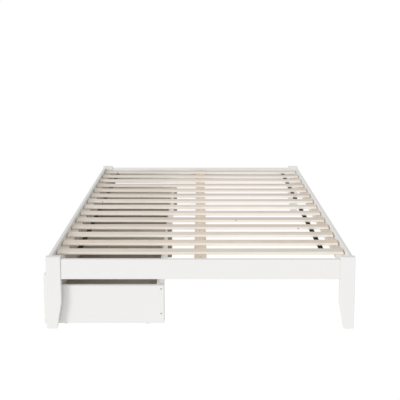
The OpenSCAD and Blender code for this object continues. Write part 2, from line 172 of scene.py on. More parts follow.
def makeLacquer(look):
    # satin white lacquer sprayed on solid wood: a soft sheen, faint orange peel, and long
    # shallow ripples where the grain below shows through; eased edges are rubbed thinner
    material, tree = startMaterial("satin_white_lacquer_on_wood", IOR=1.5)
    grain = addNode(tree, "ShaderNodeAttribute", attribute_name="grainCoord").outputs["Vector"]
    place = addNode(tree, "ShaderNodeTexCoord").outputs["Object"]
    pitch = 1 / look["grainPitch"]
    stretched = addNode(tree, "ShaderNodeMapping", {"Vector": grain, "Scale": (pitch / 40, pitch, pitch)})
    ripple = addNode(tree, "ShaderNodeTexNoise", {"Vector": stretched.outputs["Vector"], "Scale": 1.0,
                                                  "Detail": 4.0, "Roughness": 0.55})
    peel = addNode(tree, "ShaderNodeTexNoise", {"Vector": place, "Scale": 1 / look["peel"], "Detail": 1.0})
    cloud = addNode(tree, "ShaderNodeTexNoise", {"Vector": place, "Scale": 4.0, "Detail": 3.0})
    rub = addNode(tree, "ShaderNodeTexNoise", {"Vector": place, "Scale": 60.0, "Detail": 3.0})
    edge = addNode(tree, "ShaderNodeAttribute", attribute_name="edgeWear")
    rubbed = addNode(tree, "ShaderNodeMapRange", {"Value": rub.outputs["Fac"], "From Min": 0.42,
                                                  "From Max": 0.7, "To Max": 0.8})
    worn = addNode(tree, "ShaderNodeMath", {0: edge.outputs["Fac"], 1: rubbed.outputs["Result"]},
                   operation="MULTIPLY")
    tone = addNode(tree, "ShaderNodeMapRange", {"Value": cloud.outputs["Fac"], "To Min": 0.975,
                                                "To Max": 1.0})
    streak = addNode(tree, "ShaderNodeMapRange", {"Value": ripple.outputs["Fac"], "To Min": 0.975,
                                                  "To Max": 1.0})
    tone = addNode(tree, "ShaderNodeMath", {0: tone.outputs["Result"], 1: streak.outputs["Result"]},
                   operation="MULTIPLY")
    base = addNode(tree, "ShaderNodeMix", {0: 1.0, 6: srgb(look["colour"]), 7: tone.outputs[0]},
                   data_type="RGBA", blend_type="MULTIPLY")
    colour = addNode(tree, "ShaderNodeMix", {0: worn.outputs[0], 6: base.outputs[2], 7: srgb(look["worn"])},
                     data_type="RGBA")
    gloss = addNode(tree, "ShaderNodeMapRange", {"Value": cloud.outputs["Fac"], "To Min": 0.38,
                                                 "To Max": 0.52})
    wave = addNode(tree, "ShaderNodeBump", {"Height": ripple.outputs["Fac"], "Strength": 0.25,
                                            "Distance": 0.05 * mm})
    fine = addNode(tree, "ShaderNodeBump", {"Height": peel.outputs["Fac"], "Normal": wave.outputs["Normal"],
                                            "Strength": 0.3, "Distance": 0.05 * mm})
    return endMaterial(material, colour.outputs[2], gloss.outputs["Result"], fine.outputs["Normal"])


def makeWood(name, look):
    # planed bare softwood: pale early wood between narrow warm late-wood lines, fine fibres
    # along the board, a few knots, and a dry matt face
    material, tree = startMaterial(name, IOR=1.45)
    grain = addNode(tree, "ShaderNodeAttribute", attribute_name="grainCoord").outputs["Vector"]
    tint = addNode(tree, "ShaderNodeAttribute", attribute_name="woodTint").outputs["Color"]
    slow = addNode(tree, "ShaderNodeMapping", {"Vector": grain, "Scale": (1.7, 8.0, 8.0)})
    drift = addNode(tree, "ShaderNodeTexNoise", {"Vector": slow.outputs["Vector"], "Scale": 1.0,
                                                 "Detail": 2.0})
    drift = addNode(tree, "ShaderNodeVectorMath", {0: drift.outputs["Color"], 1: (-0.5, -0.5, -0.5)},
                    operation="ADD")
    drift = addNode(tree, "ShaderNodeVectorMath", {0: drift.outputs[0], 1: (0.0, 0.07, 0.07)},
                    operation="MULTIPLY")
    bent = addNode(tree, "ShaderNodeVectorMath", {0: grain, 1: drift.outputs[0]}, operation="ADD")
    # knots: rings of dark wood at scattered places along the board
    spread = addNode(tree, "ShaderNodeMapping", {"Vector": grain, "Scale": look["knotSpread"]})
    cell = addNode(tree, "ShaderNodeTexVoronoi", {"Vector": spread.outputs["Vector"], "Scale": 1.0,
                                                  "Randomness": 1.0})
    knot = addNode(tree, "ShaderNodeMapRange", {"Value": cell.outputs["Distance"],
                                                "From Min": look["knotSize"],
                                                "From Max": look["knotSize"] * 0.35, "To Max": 1.0},
                   interpolation_type="SMOOTHSTEP")
    around = addNode(tree, "ShaderNodeMapRange", {"Value": cell.outputs["Distance"],
                                                  "From Min": look["knotSize"] * 3.5, "From Max": 0.0,
                                                  "To Max": 0.012}, interpolation_type="SMOOTHSTEP")
    lifted = addNode(tree, "ShaderNodeCombineXYZ", {"Z": around.outputs["Result"]})
    bent = addNode(tree, "ShaderNodeVectorMath", {0: bent.outputs[0], 1: lifted.outputs[0]},
                   operation="ADD")
    rings = addNode(tree, "ShaderNodeTexWave", {"Vector": bent.outputs[0],
                                                "Scale": wavePeriod / look["ringPitch"],
                                                "Distortion": 1.2, "Detail": 2.0, "Detail Scale": 0.6},
                    wave_type="RINGS", rings_direction="X", wave_profile="SAW")
    late = addNode(tree, "ShaderNodeValToRGB", {"Fac": rings.outputs["Fac"]})
    fillRamp(late, [(0.0, 0.25), (0.12, 0.0), (0.55, 0.12), (0.9, 1.0), (1.0, 0.25)])
    thin = addNode(tree, "ShaderNodeMapping", {"Vector": grain, "Scale": (9.0, 520.0, 520.0)})
    fibre = addNode(tree, "ShaderNodeTexNoise", {"Vector": thin.outputs["Vector"], "Scale": 1.0,
                                                 "Detail": 3.0, "Roughness": 0.6})
    broad = addNode(tree, "ShaderNodeMapping", {"Vector": grain, "Scale": (1.1, 22.0, 22.0)})
    cloud = addNode(tree, "ShaderNodeTexNoise", {"Vector": broad.outputs["Vector"], "Scale": 1.0,
                                                 "Detail": 3.0})
    lateShare = addNode(tree, "ShaderNodeMath", {0: late.outputs["Color"], 1: look["ringShow"]},
                        operation="MULTIPLY")
    base = addNode(tree, "ShaderNodeMix", {0: lateShare.outputs[0], 6: tint, 7: srgb(look["late"])},
                   data_type="RGBA")
    fibreTone = addNode(tree, "ShaderNodeMapRange", {"Value": fibre.outputs["Fac"], "From Min": 0.3,
                                                     "From Max": 0.7, "To Min": 0.94, "To Max": 1.05})
    cloudTone = addNode(tree, "ShaderNodeValToRGB", {"Fac": cloud.outputs["Fac"]})
    fillRamp(cloudTone, [(0.3, srgb(look["cloudDark"])), (0.7, srgb("#FFFFFF"))])
    base = addNode(tree, "ShaderNodeMix", {0: 1.0, 6: base.outputs[2], 7: fibreTone.outputs["Result"]},
                   data_type="RGBA", blend_type="MULTIPLY")
    base = addNode(tree, "ShaderNodeMix", {0: 1.0, 6: base.outputs[2], 7: cloudTone.outputs["Color"]},
                   data_type="RGBA", blend_type="MULTIPLY")
    base = addNode(tree, "ShaderNodeMix", {0: knot.outputs["Result"], 6: base.outputs[2],
                                           7: srgb(look["knot"])}, data_type="RGBA")
    # painted highlight: faces towards the foot and head ends, the slats' narrow edges among them, are
    # blended towards a paler tint that stands in for the light falling on them
    where = addNode(tree, "ShaderNodeTexCoord")
    facing = addNode(tree, "ShaderNodeSeparateXYZ", {0: where.outputs["Normal"]})
    across = addNode(tree, "ShaderNodeMath", {0: facing.outputs["Y"]}, operation="ABSOLUTE")
    paintedEndLight = addNode(tree, "ShaderNodeMapRange", {"Value": across.outputs[0], "From Min": 0.45,
                                                "From Max": 0.85, "To Max": look["paintedEndLightShare"]})
    base = addNode(tree, "ShaderNodeMix", {0: paintedEndLight.outputs["Result"], 6: base.outputs[2],
                                           7: srgb(look["paintedEndLightTint"])}, data_type="RGBA")
    # a few small dead knots at fixed places
    for spot, size in look["specks"]:
        away = addNode(tree, "ShaderNodeVectorMath", {0: where.outputs["Object"], 1: spot},
                       operation="DISTANCE")
        dark = addNode(tree, "ShaderNodeMapRange", {"Value": away.outputs["Value"], "From Min": size,
                                                    "From Max": size * 0.45, "To Max": 0.85})
        base = addNode(tree, "ShaderNodeMix", {0: dark.outputs["Result"], 6: base.outputs[2],
                                               7: srgb(look["knot"])}, data_type="RGBA")
    rough = addNode(tree, "ShaderNodeMapRange", {"Value": fibre.outputs["Fac"], "To Min": 0.52,
                                                 "To Max": 0.72})
    ridge = addNode(tree, "ShaderNodeBump", {"Height": late.outputs["Color"], "Strength": 0.25,
                                             "Distance": 0.15 * mm})
    fuzz = addNode(tree, "ShaderNodeBump", {"Height": fibre.outputs["Fac"],
                                            "Normal": ridge.outputs["Normal"],
                                            "Strength": 0.4, "Distance": 0.12 * mm})
    return endMaterial(material, base.outputs[2], rough.outputs["Result"], fuzz.outputs["Normal"])


def makeHardboard(look):
    # wet-pressed fibreboard with its smooth side up: brown, finely mottled, with short fibres
    material, tree = startMaterial("smooth_pressed_fibreboard", IOR=1.45)
    place = addNode(tree, "ShaderNodeTexCoord").outputs["Object"]
    speck = addNode(tree, "ShaderNodeTexNoise", {"Vector": place, "Scale": 1 / look["fibre"], "Detail": 4.0,
                                                 "Roughness": 0.7, "Distortion": 1.5})
    cloud = addNode(tree, "ShaderNodeTexNoise", {"Vector": place, "Scale": 9.0, "Detail": 3.0})
    colour = addNode(tree, "ShaderNodeValToRGB", {"Fac": speck.outputs["Fac"]})
    fillRamp(colour, [(0.32, srgb(look["dark"])), (0.5, srgb(look["colour"])), (0.7, srgb(look["light"]))])
    tone = addNode(tree, "ShaderNodeMapRange", {"Value": cloud.outputs["Fac"], "To Min": 0.9,
                                                "To Max": 1.06})
    base = addNode(tree, "ShaderNodeMix", {0: 1.0, 6: colour.outputs["Color"], 7: tone.outputs["Result"]},
                   data_type="RGBA", blend_type="MULTIPLY")
    rough = addNode(tree, "ShaderNodeMapRange", {"Value": speck.outputs["Fac"], "To Min": 0.4,
                                                 "To Max": 0.62})
    bump = addNode(tree, "ShaderNodeBump", {"Height": speck.outputs["Fac"], "Strength": 0.2,
                                            "Distance": 0.08 * mm})
    return endMaterial(material, base.outputs[2], rough.outputs["Result"], bump.outputs["Normal"])


def makeWebbing(look):
    # woven polypropylene tape: black twill with a dull glint on each thread
    material, tree = startMaterial("woven_black_polypropylene", IOR=1.49, Specular_IOR_Level=0.3)
    weave = addNode(tree, "ShaderNodeAttribute", attribute_name="weaveCoord").outputs["Vector"]
    warp = addNode(tree, "ShaderNodeTexWave", {"Vector": weave, "Scale": wavePeriod / look["warp"],
                                               "Distortion": 0.4, "Detail": 1.0},
                   wave_type="BANDS", bands_direction="Y")
    turned = addNode(tree, "ShaderNodeMapping", {"Vector": weave, "Rotation": (0, 0, math.radians(38))})
    twill = addNode(tree, "ShaderNodeTexWave", {"Vector": turned.outputs["Vector"],
                                                "Scale": wavePeriod / look["twill"], "Distortion": 0.3,
                                                "Detail": 1.0}, wave_type="BANDS", bands_direction="X")
    height = addNode(tree, "ShaderNodeMath", {0: warp.outputs["Fac"], 1: twill.outputs["Fac"]},
                     operation="MULTIPLY")
    colour = addNode(tree, "ShaderNodeValToRGB", {"Fac": height.outputs[0]})
    fillRamp(colour, [(0.05, srgb(look["dark"])), (0.8, srgb(look["light"]))])
    rough = addNode(tree, "ShaderNodeMapRange", {"Value": height.outputs[0], "To Min": 0.8, "To Max": 0.55})
    bump = addNode(tree, "ShaderNodeBump", {"Height": height.outputs[0], "Strength": 0.6,
                                            "Distance": 0.25 * mm})
    return endMaterial(material, colour.outputs["Color"], rough.outputs["Result"], bump.outputs["Normal"])


def makeZinc(look):
    # bright zinc-plated pressed steel: cool grey metal with faint crystals and rolling marks
    material, tree = startMaterial("bright_zinc_plated_steel", Metallic=1.0)
    place = addNode(tree, "ShaderNodeTexCoord").outputs["Object"]
    crystal = addNode(tree, "ShaderNodeTexVoronoi", {"Vector": place, "Scale": 1 / look["crystal"]})
    smear = addNode(tree, "ShaderNodeTexNoise", {"Vector": place, "Scale": 90.0, "Detail": 4.0,
                                                 "Roughness": 0.6})
    blend = addNode(tree, "ShaderNodeMath", {0: crystal.outputs["Color"], 1: smear.outputs["Fac"]},
                    operation="MULTIPLY")
    colour = addNode(tree, "ShaderNodeValToRGB", {"Fac": blend.outputs[0]})
    fillRamp(colour, [(0.0, srgb(look["dark"])), (0.5, srgb(look["light"]))])
    rough = addNode(tree, "ShaderNodeMapRange", {"Value": smear.outputs["Fac"], "From Min": 0.3,
                                                 "From Max": 0.7, "To Min": 0.26, "To Max": 0.42})
    bump = addNode(tree, "ShaderNodeBump", {"Height": smear.outputs["Fac"], "Strength": 0.15,
                                            "Distance": 0.03 * mm})
    return endMaterial(material, colour.outputs["Color"], rough.outputs["Result"], bump.outputs["Normal"])


def makePlastic(name, look):
    # moulded thermoplastic: an even body colour, a fine spark-eroded texture and a soft sheen
    material, tree = startMaterial(name, IOR=look["ior"], Subsurface_Weight=look["scatter"],
                                   Subsurface_Radius=(1.5 * mm, 1.5 * mm, 1.5 * mm))
    place = addNode(tree, "ShaderNodeTexCoord").outputs["Object"]
    spark = addNode(tree, "ShaderNodeTexNoise", {"Vector": place, "Scale": 1 / look["spark"],
                                                 "Detail": 2.0})
    scuff = addNode(tree, "ShaderNodeTexNoise", {"Vector": place, "Scale": 160.0, "Detail": 4.0})
    colour = addNode(tree, "ShaderNodeValToRGB", {"Fac": scuff.outputs["Fac"]})
    fillRamp(colour, [(0.35, srgb(look["dark"])), (0.6, srgb(look["colour"]))])
    rough = addNode(tree, "ShaderNodeMapRange", {"Value": scuff.outputs["Fac"], "To Min": 0.38,
                                                 "To Max": 0.6})
    bump = addNode(tree, "ShaderNodeBump", {"Height": spark.outputs["Fac"], "Strength": 0.25,
                                            "Distance": 0.04 * mm})
    return endMaterial(material, colour.outputs["Color"], rough.outputs["Result"], bump.outputs["Normal"])


# paintedEndLightTint and paintedEndLightShare set the painted highlight on wood faces towards the foot and
# head ends
plainLook = {"paintedEndLightTint": "#FCF6EC", "paintedEndLightShare": 0.0, "specks": []}
pineLook = {
    **plainLook, "late": "#DDBD98", "knot": "#9A6A42", "ringPitch": 7 * mm, "ringShow": 0.26,
    "knotSpread": (2.2, 14.0, 14.0), "knotSize": 0.1, "cloudDark": "#F3EEE8", "paintedEndLightShare": 0.7,
    "specks": [((-0.599, 0.914, 0.318), 6 * mm), ((-0.673, 0.643, 0.315), 5 * mm),
               ((-0.599, 0.100, 0.319), 5 * mm), ((0.543, -0.443, 0.316), 5 * mm),
               ((0.211, -0.307, 0.321), 5 * mm), ((-0.641, -0.832, 0.323), 4 * mm),
               ((-0.365, 0.236, 0.314), 4 * mm), ((0.086, -0.480, 0.323), 4 * mm)]}
spruceLook = {
    **plainLook, "late": "#D2A98A", "knot": "#8A5533", "ringPitch": 5 * mm, "ringShow": 0.38,
    "knotSpread": (2.6, 16.0, 16.0), "knotSize": 0.12, "cloudDark": "#EFE6DC"}
beechLook = {
    **plainLook, "late": "#A97B52", "knot": "#8A5533", "ringPitch": 3 * mm, "ringShow": 0.4,
    "knotSpread": (1.0, 3.0, 3.0), "knotSize": 0.02, "cloudDark": "#F0E4D6"}
materials = {
    "white_paint": makeLacquer(lacquerLook),
    "pine": makeWood("planed_bare_pine", pineLook),
    "beam_wood": makeWood("planed_bare_spruce", spruceLook),
    "beech": makeWood("turned_bare_beech", beechLook),
    "hardboard": makeHardboard({"dark": "#726B60", "colour": "#999184", "light": "#AAA397",
                                "fibre": 2 * mm}),
    "webbing": makeWebbing({"dark": "#040404", "light": "#151516", "warp": 1.6 * mm, "twill": 2.4 * mm}),
    "zinc_steel": makeZinc({"dark": "#A9ADB0", "light": "#D3D6D8", "crystal": 5 * mm}),
    "wheel_nylon": makePlastic("moulded_nylon", {"ior": 1.53, "scatter": 0.1, "spark": 0.6 * mm,
                                                 "dark": "#B4B5B3", "colour": "#C9CAC7"}),
    "glide_plastic": makePlastic("moulded_polyethylene", {"ior": 1.51, "scatter": 0.2, "spark": 0.8 * mm,
                                                          "dark": "#C9C7C0", "colour": "#DAD8D2"}),
}
print("materials ready:", len(materials))


def addPiece(name, mesh, nodes):
    # the piece stands for these CAD nodes, moves with their body and takes their finish
    piece = bpy.data.objects.new(name, mesh)
    bpy.context.collection.objects.link(piece)
    if not mesh.materials:
        mesh.materials.append(materials[slotOf[nodes[0]]])
    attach(piece, frame["nodes"][nodes[0]]["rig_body"])
    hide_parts(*nodes)


def solidOf(nodeName):
    # a closed copy of a CAD node with its flat faces whole again
    solid = bmesh.new()
    solid.from_mesh(frame["nodes"][nodeName].data)
    bmesh.ops.remove_doubles(solid, verts=solid.verts, dist=0.005 * mm)
    bmesh.ops.dissolve_limit(solid, angle_limit=math.radians(1), verts=solid.verts, edges=solid.edges)
    return solid


def looseParts(solid):
    # the vertices of each separate solid
    left, parts = set(solid.verts), []
    while left:
        part, reach = [], [left.pop()]
        while reach:
            vert = reach.pop()
            part.append(vert)
            for edge in vert.link_edges:
                other = edge.other_vert(vert)
                if other in left:
                    left.remove(other)
                    reach.append(other)
        parts.append(part)
    return parts


boardTimber = {"along": 9, "across": 40 * mm, "below": (50 * mm, 90 * mm)}


def corners(verts):
    # the lowest and highest corner of the box round these vertices
    low = Vector([min(v.co[i] for v in verts) for i in range(3)])
    return low, Vector([max(v.co[i] for v in verts) for i in range(3)])


def grainShift(draw, timber):
    # where in its log a board was sawn: along it, to a side of the pith, and how far from it
    return (draw.uniform(0, timber["along"]), draw.uniform(-timber["across"], timber["across"]),
            draw.uniform(*timber["below"]))


def writeGrain(solid, tint=None):
    # grainCoord runs along each loose board, with the pith well below it; woodTint is its colour;
    # a board's place seeds its draw, so that each gets a stretch of timber of its own
    grain = solid.verts.layers.float_vector.new("grainCoord")
    colour = solid.verts.layers.float_color.new("woodTint") if tint else None
    for part in looseParts(solid):
        low, high = corners(part)
        size = high - low
        order = sorted(range(3), key=lambda i: -size[i])
        centre = (low + high) / 2
        draw = random.Random(int(centre.x * 977 + centre.y * 5501 + centre.z * 9973))
        shift = Vector(grainShift(draw, boardTimber))
        for vert in part:
            local = vert.co - centre
            vert[grain] = Vector([local[i] for i in order]) + shift
            if tint:
                vert[colour] = tint


def easedPiece(nodeName, edge, steps=3, shortest=7 * mm, tint=None, faced=None):
    # a CAD node with its arrises taken off: edge is the rounding, and shorter edges stay crisp;
    # faced names a face's finish from its centre and normal, or gives None for the node's own
    solid = solidOf(nodeName)
    wear = solid.faces.layers.float.new("edgeWear")
    sharp = [e for e in solid.edges if len(e.link_faces) == 2
             and e.calc_face_angle(0) > math.radians(28) and e.calc_length() >= shortest]
    made = bmesh.ops.bevel(solid, geom=sharp, offset=edge, segments=steps, profile=0.5,
                           affect="EDGES", clamp_overlap=True)
    for face in made["faces"]:
        face.smooth = True
        face[wear] = 1.0
    writeGrain(solid, tint)
    mesh = bpy.data.meshes.new(nodeName + "_eased")
    if faced:
        finishes = [slotOf[nodeName]]
        for face in solid.faces:
            finish = faced(face.calc_center_median(), face.normal) or finishes[0]
            if finish not in finishes:
                finishes.append(finish)
            face.material_index = finishes.index(finish)
        for finish in finishes:
            mesh.materials.append(materials[finish])
    solid.to_mesh(mesh)
    solid.free()
    addPiece(nodeName + "_eased", mesh, [nodeName])


def startTree(name, inputs):
    # a Geometry Nodes tree with a geometry input and the named inputs given
    tree = bpy.data.node_groups.new(name, "GeometryNodeTree")
    tree.interface.new_socket(name="Geometry", in_out="INPUT", socket_type="NodeSocketGeometry")
    for label, kind in inputs.items():
        tree.interface.new_socket(name=label, in_out="INPUT", socket_type="NodeSocket" + kind)
    tree.interface.new_socket(name="Geometry", in_out="OUTPUT", socket_type="NodeSocketGeometry")
    return tree, tree.nodes.new("NodeGroupInput").outputs


def endTree(tree, geometry, material):
    # every tree ends with real geometry, because nothing may stay an instance
    real = addNode(tree, "GeometryNodeRealizeInstances", {"Geometry": geometry})
    painted = addNode(tree, "GeometryNodeSetMaterial", {"Geometry": real.outputs[0], "Material": material})
    addNode(tree, "NodeGroupOutput", {"Geometry": painted.outputs[0]})


def runTree(tree, name, points, attributes, values):
    # runs the tree on a cloud of points and gives back a plain mesh
    cloud = bpy.data.meshes.new(name + "_points")
    cloud.from_pydata(points, [], [])
    for label, (kind, field, rows) in attributes.items():
        layer = cloud.attributes.new(label, kind, "POINT")
        layer.data.foreach_set(field, [x for row in rows for x in row])
    holder = bpy.data.objects.new(name + "_holder", cloud)
    bpy.context.collection.objects.link(holder)
    modifier = holder.modifiers.new("nodes", "NODES")
    modifier.node_group = tree
    for item in tree.interface.items_tree:
        if item.item_type == "SOCKET" and item.in_out == "INPUT" and item.name in values:
            modifier[item.identifier] = values[item.name]
    graph = bpy.context.evaluated_depsgraph_get()
    mesh = bpy.data.meshes.new_from_object(holder.evaluated_get(graph), preserve_all_data_layers=True,
                                           depsgraph=graph)
    mesh.name = name
    bpy.data.objects.remove(holder)
    return mesh


# lacquered boards: legs, rails and the drawers' panels
lacquered = {"edge": 1.8 * mm, "steps": 3, "bareInside": "#D9CBB7"}
drawers = ("foot_drawer", "head_drawer")
ends, sides = ("foot", "head"), ("left", "right")
boards = [f"{end}_leg_{side}" for end in ends for side in sides] + ["foot_rail", "head_rail"]
boards += [f"side_rail_{side}" for side in sides]
boards += [f"{d}_{panel}" for d in drawers for panel in ("front", "back")]
for nodeName in boards:
    easedPiece(nodeName, lacquered["edge"], lacquered["steps"])
# a drawer's side panels are lacquered except for their inner faces
sidePanels = {f"{d}_{end}_side": inward for d in drawers for end, inward in (("foot", 1), ("head", -1))}
for nodeName, inward in sidePanels.items():
    easedPiece(nodeName, lacquered["edge"], lacquered["steps"], tint=srgb(lacquered["bareInside"]),
               faced=lambda centre, normal: "pine" if normal.y * inward > 0.99 else None)
print("lacquered boards:", len(boards) + len(sidePanels))

# bare wood that isn't a slat
bareWood = {
    "slat_ledger_left": ("#E6E2DD", 1.2 * mm), "slat_ledger_right": ("#E6E2DD", 1.2 * mm),
    "centre_beam": ("#F3E7DA", 1.5 * mm), "centre_leg_foot": ("#E6CFAF", 1.5 * mm),
    "centre_leg_head": ("#E6CFAF", 1.5 * mm), "foot_drawer_battens": ("#D5C7B2", 0.8 * mm),
    "head_drawer_battens": ("#D5C7B2", 0.8 * mm), "frame_dowels": ("#C9A377", 0.6 * mm),
}
bottomTop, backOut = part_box("foot_drawer_bottom")[1].z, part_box("foot_drawer_back")[1].x


def battenFacesWithPaintedShade(centre, normal):
    # the cleats behind the back panel are lacquered white on top and take the dark board colour on their
    # other faces as painted shade; the middle batten, flush between the two bottom panels, is faced like
    # them
    if centre.x > backOut + 0.1 * mm:
        return "white_paint" if normal.z > 0.7 else "hardboard"
    return "hardboard" if normal.z > 0.7 and abs(centre.z - bottomTop) < 0.5 * mm else None


for nodeName, (colour, edge) in bareWood.items():
    faced = battenFacesWithPaintedShade if nodeName.endswith("_battens") else None
    easedPiece(nodeName, edge, 2, tint=srgb(colour), faced=faced)
for drawer in drawers:
    easedPiece(f"{drawer}_bottom", 0.4 * mm, 2)
print("bare wood and drawer bottoms done")

# pressed steel and small mouldings
pressed = {"edge": 0.5 * mm, "steps": 2, "shortest": 2.2 * mm}
for nodeName in ("corner_brackets", "beam_hangers", "foot_drawer_casters", "head_drawer_casters"):
    easedPiece(nodeName, **pressed)
easedPiece("leg_glides", 0.5 * mm, 2, shortest=0)
print("pressed steel and glides done")


def makeEasedBlock():
    # node group: a block of the given size with every edge rounded, by pushing a cube's grid
    # out from an inner box along its own normals
    tree = bpy.data.node_groups.new("eased block", "GeometryNodeTree")
    for label, kind in (("Size", "Vector"), ("Radius", "Float")):
        tree.interface.new_socket(name=label, in_out="INPUT", socket_type="NodeSocket" + kind)
    tree.interface.new_socket(name="Geometry", in_out="OUTPUT", socket_type="NodeSocketGeometry")
    inputs = tree.nodes.new("NodeGroupInput").outputs
    side = 8   # vertices along a side: three steps of rounding, one flat, three more
    cube = addNode(tree, "GeometryNodeMeshCube", {"Size": (2, 2, 2), "Vertices X": side, "Vertices Y": side,
                                                  "Vertices Z": side})
    place = addNode(tree, "GeometryNodeInputPosition").outputs[0]
    sign = addNode(tree, "ShaderNodeVectorMath", {0: place}, operation="SIGN").outputs[0]
    far = addNode(tree, "ShaderNodeVectorMath", {0: place}, operation="ABSOLUTE").outputs[0]
    share = (side - 1) / (side - 2)
    step = addNode(tree, "ShaderNodeVectorMath", {0: far, 1: (share,) * 3, 2: (-1 / (side - 2),) * 3},
                   operation="MULTIPLY_ADD").outputs[0]
    out = addNode(tree, "ShaderNodeVectorMath", {0: sign, 1: step}, operation="MULTIPLY").outputs[0]
    out = addNode(tree, "ShaderNodeVectorMath", {0: out}, operation="NORMALIZE").outputs[0]
    out = addNode(tree, "ShaderNodeVectorMath", {0: out, "Scale": inputs["Radius"]},
                  operation="SCALE").outputs[0]
    half = addNode(tree, "ShaderNodeVectorMath", {0: inputs["Size"], "Scale": 0.5},
                   operation="SCALE").outputs[0]
    corner = addNode(tree, "ShaderNodeCombineXYZ", {axis: inputs["Radius"] for axis in "XYZ"}).outputs[0]
    inner = addNode(tree, "ShaderNodeVectorMath", {0: half, 1: corner}, operation="SUBTRACT").outputs[0]
    inner = addNode(tree, "ShaderNodeVectorMath", {0: inner, 1: sign}, operation="MULTIPLY").outputs[0]
    spot = addNode(tree, "ShaderNodeVectorMath", {0: inner, 1: out}, operation="ADD").outputs[0]
    moved = addNode(tree, "GeometryNodeSetPosition", {"Geometry": cube.outputs["Mesh"], "Position": spot})
    addNode(tree, "NodeGroupOutput", {"Geometry": moved.outputs[0]})
    return tree


easedBlock = makeEasedBlock()

# slats: one eased board repeated, each with its own colour and stretch of timber
slats = {
    "edge": 4 * mm, "seed": 7, "timber": {"along": 9, "across": 50 * mm, "below": (30 * mm, 80 * mm)},
    "colours": ["#F0EAE1", "#F4EADF", "#F3EDE5", "#EDE2D9", "#E8DED3", "#F5EEE8", "#F7F3EC",
                "#F3EBE3", "#E6DED6", "#EBE3DA", "#E8E0D9", "#F2EBE4", "#EAE2D9", "#E7E5DE"],
}
slatNodes = sorted(n for n in frame["nodes"] if n.startswith("slat_") and n[5:].isdigit())
slatBoxes = [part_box(n) for n in slatNodes]


def makeSlatTree():
    # an eased block at each point, with grainCoord from its own middle and moved by "shift"
    tree, inputs = startTree("slats", {"Length": "Float", "Width": "Float", "Thickness": "Float",
                                       "Edge": "Float", "Material": "Material"})
    size = addNode(tree, "ShaderNodeCombineXYZ", {"X": inputs["Length"], "Y": inputs["Width"],
                                                  "Z": inputs["Thickness"]})
    block = addNode(tree, "GeometryNodeGroup", node_tree=easedBlock)
    tree.links.new(size.outputs[0], block.inputs["Size"])
    tree.links.new(inputs["Edge"], block.inputs["Radius"])
    local = addNode(tree, "GeometryNodeInputPosition")
    kept = addNode(tree, "GeometryNodeStoreNamedAttribute",
                   {"Geometry": block.outputs[0], "Name": "grainCoord"}, data_type="FLOAT_VECTOR")
    tree.links.new(local.outputs[0], kept.inputs["Value"])
    placed = addNode(tree, "GeometryNodeInstanceOnPoints", {"Points": inputs["Geometry"],
                                                            "Instance": kept.outputs[0]})
    real = addNode(tree, "GeometryNodeRealizeInstances", {"Geometry": placed.outputs[0]})
    grain = addNode(tree, "GeometryNodeInputNamedAttribute", {"Name": "grainCoord"},
                    data_type="FLOAT_VECTOR")
    shift = addNode(tree, "GeometryNodeInputNamedAttribute", {"Name": "shift"}, data_type="FLOAT_VECTOR")
    total = addNode(tree, "ShaderNodeVectorMath", {0: grain.outputs[0], 1: shift.outputs[0]},
                    operation="ADD")
    final = addNode(tree, "GeometryNodeStoreNamedAttribute",
                    {"Geometry": real.outputs[0], "Name": "grainCoord"}, data_type="FLOAT_VECTOR")
    tree.links.new(total.outputs[0], final.inputs["Value"])
    endTree(tree, final.outputs[0], inputs["Material"])
    return tree


draw = random.Random(slats["seed"])
slatSize = slatBoxes[0][1] - slatBoxes[0][0]
slatMesh = runTree(
    makeSlatTree(), "slats_eased", [(low + high) / 2 for low, high in slatBoxes],
    {"woodTint": ("FLOAT_COLOR", "color", [srgb(c) for c in slats["colours"]]),
     "shift": ("FLOAT_VECTOR", "vector", [grainShift(draw, slats["timber"]) for _ in slatNodes])},
    {"Length": slatSize.x, "Width": slatSize.y, "Thickness": slatSize.z, "Edge": slats["edge"],
     "Material": materials["pine"]})
slatMesh.shade_smooth()
addPiece("slats_eased", slatMesh, slatNodes)
print("slats:", len(slatNodes))

# webbing: a flat woven tape under each roll of slats, a little slack between them
webbing = {"slack": 1.2 * mm, "lift": 0.05 * mm, "selvedge": 0.5 * mm, "steps": 6}


